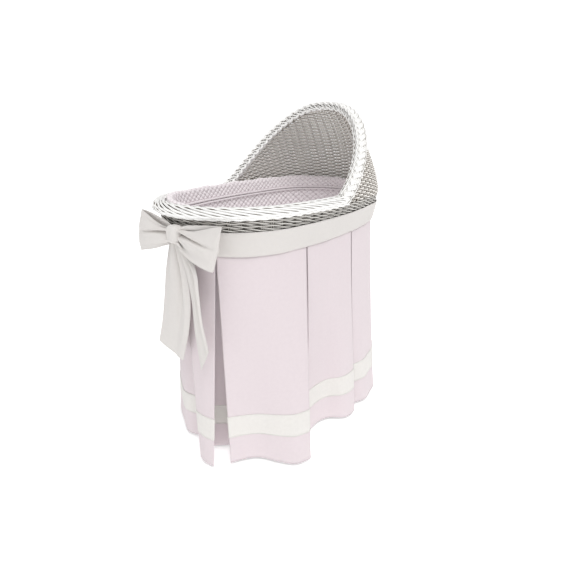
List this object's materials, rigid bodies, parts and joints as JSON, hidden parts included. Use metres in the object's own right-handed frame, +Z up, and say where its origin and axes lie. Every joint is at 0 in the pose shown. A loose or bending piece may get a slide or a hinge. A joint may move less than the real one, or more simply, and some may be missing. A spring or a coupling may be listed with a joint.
{
  "type": "hooded bassinet basket on a wheeled stand",
  "caption": "Hooded wicker moses basket with quilted liner, mattress, pleated floor-length skirt and bow, lifted off a wooden stand on braked casters.",
  "frame": {"origin": "on the floor, under the middle of the whole outline, which is 17 mm to the foot side of the basket's own middle because the bow stands out at the foot end", "axes": "+X towards the hooded head end, +Z up, +Y to the left when looking from the foot end to the head end"},
  "size_m": [0.9139, 0.5878, 1.087],
  "materials": {
    "wicker": "white painted willow",
    "base_board": "painted plywood",
    "pink_cotton": "plain woven cotton",
    "pink_quilt": "diamond quilted cotton",
    "white_cotton": "plain woven cotton",
    "mattress": "foam in cotton ticking",
    "painted_wood": "white satin paint",
    "zinc": "zinc plated",
    "fork_steel": "zinc plated",
    "nylon": "moulded nylon",
    "tyre": "soft grey rubber",
    "pedal": "moulded plastic"
  },
  "bodies": {
    "stand": {"barrel_nuts": "zinc", "caster_sockets": "zinc", "frame_bolts": "zinc", "leg_foot_far": "painted_wood", "leg_foot_near": "painted_wood", "leg_head_far": "painted_wood", "leg_head_near": "painted_wood", "locating_blocks": "painted_wood", "low_rail_far": "painted_wood", "low_rail_foot": "painted_wood", "low_rail_head": "painted_wood", "low_rail_near": "painted_wood", "shelf_slats": "painted_wood", "support_slats": "painted_wood", "top_rail_far": "painted_wood", "top_rail_foot": "painted_wood", "top_rail_head": "painted_wood", "top_rail_near": "painted_wood"},
    "basket": {"base_board": "base_board", "wicker_wall": "wicker", "hood_shell": "wicker", "rim_braid": "wicker", "hood_braid": "wicker", "liner": "pink_quilt", "liner_piping": "pink_cotton", "mattress": "mattress", "fitted_sheet": "white_cotton", "waistband": "white_cotton", "skirt": "pink_cotton", "hem_stripe": "white_cotton", "bow_knot": "white_cotton", "bow_loop_near": "white_cotton", "bow_loop_far": "white_cotton", "bow_tail_near": "white_cotton", "bow_tail_far": "white_cotton"},
    "caster_fork_foot_near": {"caster_fork_foot_near": "fork_steel", "caster_axle_foot_near": "zinc"},
    "caster_wheel_foot_near": {"caster_hub_foot_near": "nylon", "caster_tyre_foot_near": "tyre"},
    "brake_pedal_foot_near": {"brake_pedal_foot_near": "pedal"},
    "caster_fork_foot_far": {"caster_fork_foot_far": "fork_steel", "caster_axle_foot_far": "zinc"},
    "caster_wheel_foot_far": {"caster_hub_foot_far": "nylon", "caster_tyre_foot_far": "tyre"},
    "brake_pedal_foot_far": {"brake_pedal_foot_far": "pedal"},
    "caster_fork_head_near": {"caster_fork_head_near": "fork_steel", "caster_axle_head_near": "zinc"},
    "caster_wheel_head_near": {"caster_hub_head_near": "nylon", "caster_tyre_head_near": "tyre"},
    "brake_pedal_head_near": {"brake_pedal_head_near": "pedal"},
    "caster_fork_head_far": {"caster_fork_head_far": "fork_steel", "caster_axle_head_far": "zinc"},
    "caster_wheel_head_far": {"caster_hub_head_far": "nylon", "caster_tyre_head_far": "tyre"},
    "brake_pedal_head_far": {"brake_pedal_head_far": "pedal"}
  },
  "joints": [
    {"name": "basket_lift", "type": "slide", "parent": "stand", "child": "basket", "axis": [0, 0, 1], "range_m": [0, 0.6]},
    {"name": "caster_swivel_foot_near", "type": "hinge", "parent": "stand", "child": "caster_fork_foot_near", "pos_m": [-0.253, -0.14, 0.063], "axis": [0, 0, 1], "continuous": true},
    {"name": "wheel_spin_foot_near", "type": "hinge", "parent": "caster_fork_foot_near", "child": "caster_wheel_foot_near", "pos_m": [-0.271, -0.14, 0.025], "axis": [0, 1, 0], "continuous": true},
    {"name": "pedal_press_foot_near", "type": "hinge", "parent": "caster_fork_foot_near", "child": "brake_pedal_foot_near", "pos_m": [-0.281, -0.14, 0.055], "axis": [0, -1, 0], "range_deg": [0, 20]},
    {"name": "caster_swivel_foot_far", "type": "hinge", "parent": "stand", "child": "caster_fork_foot_far", "pos_m": [-0.253, 0.14, 0.063], "axis": [0, 0, 1], "continuous": true},
    {"name": "wheel_spin_foot_far", "type": "hinge", "parent": "caster_fork_foot_far", "child": "caster_wheel_foot_far", "pos_m": [-0.271, 0.14, 0.025], "axis": [0, 1, 0], "continuous": true},
    {"name": "pedal_press_foot_far", "type": "hinge", "parent": "caster_fork_foot_far", "child": "brake_pedal_foot_far", "pos_m": [-0.281, 0.14, 0.055], "axis": [0, -1, 0], "range_deg": [0, 20]},
    {"name": "caster_swivel_head_near", "type": "hinge", "parent": "stand", "child": "caster_fork_head_near", "pos_m": [0.287, -0.14, 0.063], "axis": [0, 0, 1], "continuous": true},
    {"name": "wheel_spin_head_near", "type": "hinge", "parent": "caster_fork_head_near", "child": "caster_wheel_head_near", "pos_m": [0.269, -0.14, 0.025], "axis": [0, 1, 0], "continuous": true},
    {"name": "pedal_press_head_near", "type": "hinge", "parent": "caster_fork_head_near", "child": "brake_pedal_head_near", "pos_m": [0.259, -0.14, 0.055], "axis": [0, -1, 0], "range_deg": [0, 20]},
    {"name": "caster_swivel_head_far", "type": "hinge", "parent": "stand", "child": "caster_fork_head_far", "pos_m": [0.287, 0.14, 0.063], "axis": [0, 0, 1], "continuous": true},
    {"name": "wheel_spin_head_far", "type": "hinge", "parent": "caster_fork_head_far", "child": "caster_wheel_head_far", "pos_m": [0.269, 0.14, 0.025], "axis": [0, 1, 0], "continuous": true},
    {"name": "pedal_press_head_far", "type": "hinge", "parent": "caster_fork_head_far", "child": "brake_pedal_head_far", "pos_m": [0.259, 0.14, 0.055], "axis": [0, -1, 0], "range_deg": [0, 20]}
  ]
}
